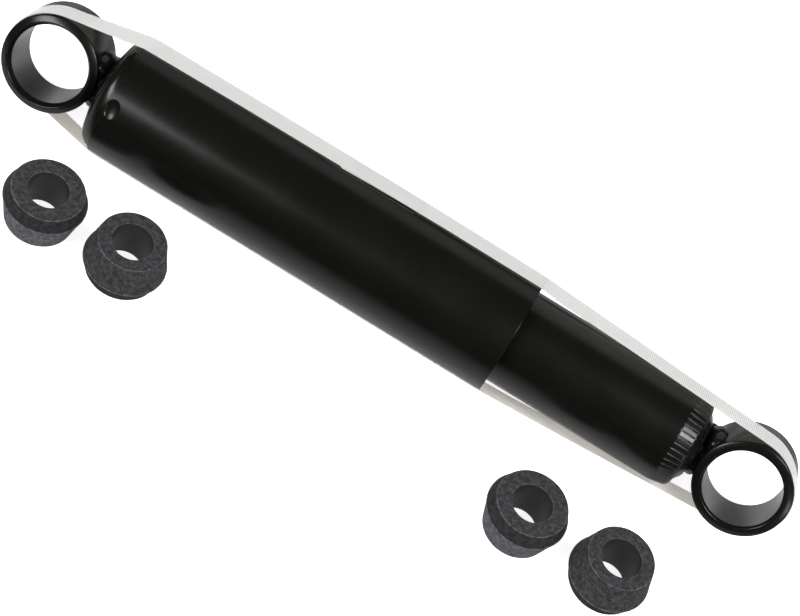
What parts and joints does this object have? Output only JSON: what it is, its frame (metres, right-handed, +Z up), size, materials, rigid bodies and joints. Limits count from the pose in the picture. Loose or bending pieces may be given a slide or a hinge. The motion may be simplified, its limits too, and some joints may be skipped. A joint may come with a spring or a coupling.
{
  "type": "shock absorber",
  "caption": "Telescopic hydraulic shock absorber with a welded eye at each end, a dust tube over the cylinder, a transport strap and loose tapered rubber bushes.",
  "frame": {"origin": "centre of the upper eye's bore, on the axis of the shock absorber", "axes": "+X along the shock absorber from the upper eye to the lower eye, +Z up as it lies on its dust tube, with the loose bushes on the -Y side; the eyes' bores lean 27.6 and 29.7 degrees from Y"},
  "size_m": [0.4898, 0.139, 0.0691],
  "materials": {
    "black_paint": "satin black paint",
    "hard_chrome": "ground and chromed",
    "bright_steel": "oiled bare steel",
    "sintered_iron": "oiled sintered iron",
    "bearing_bronze": "rolled bronze",
    "glide_band": "filled slippery plastic",
    "bush_rubber": "moulded rubber with pale bloom",
    "seal_rubber": "smooth oil-proof rubber",
    "strap_weave": "pale woven polyester strap"
  },
  "bodies": {
    "rod_side": {"upper_eye": "black_paint", "upper_eye_weld": "black_paint", "dust_cap": "black_paint", "dust_tube": "black_paint", "piston_rod": "hard_chrome", "rebound_bumper": "seal_rubber", "rebound_stop_ring": "bright_steel", "spring_stop_washer": "bright_steel", "piston_star_spring": "bright_steel", "piston": "sintered_iron", "rebound_valve_discs": "bright_steel", "rebound_valve_washer": "bright_steel", "piston_nut": "bright_steel", "upper_bush_1": "bush_rubber", "upper_bush_2": "bush_rubber", "lower_bush_1": "bush_rubber", "lower_bush_2": "bush_rubber", "transport_strap": "strap_weave"},
    "piston_check": {"piston_check_plate": "bright_steel"},
    "glide_band": {"piston_band": "glide_band"},
    "cylinder": {"reservoir_tube": "black_paint", "base_cap": "black_paint", "lower_eye_weld": "black_paint", "lower_eye": "black_paint", "pressure_tube": "bright_steel", "rod_guide": "sintered_iron", "guide_bush": "bearing_bronze", "rod_seal": "seal_rubber", "seal_garter_spring": "bright_steel", "guide_oring": "seal_rubber", "base_valve_body": "sintered_iron", "base_valve_pin": "bright_steel", "base_star_spring": "bright_steel", "compression_valve_discs": "bright_steel"},
    "base_check": {"base_check_plate": "bright_steel"}
  },
  "joints": [
    {"name": "spin", "type": "hinge", "parent": "rod_side", "child": "glide_band", "pos_m": [0, 0, 0], "axis": [1, 0, 0], "continuous": true, "deforming": ["transport_strap"]},
    {"name": "stroke", "type": "slide", "parent": "glide_band", "child": "cylinder", "axis": [1, 0, 0], "range_m": [0, 0.205], "deforming": ["transport_strap"]},
    {"name": "piston_check_lift", "type": "slide", "parent": "rod_side", "child": "piston_check", "axis": [-1, 0, 0], "range_m": [0, 0.0008], "stiffness_N_per_m": 400, "springref_m": -0.004, "deforming": ["piston_star_spring"]},
    {"name": "base_check_lift", "type": "slide", "parent": "cylinder", "child": "base_check", "axis": [-1, 0, 0], "range_m": [0, 0.0008], "stiffness_N_per_m": 400, "springref_m": -0.004, "deforming": ["base_star_spring"]}
  ]
}
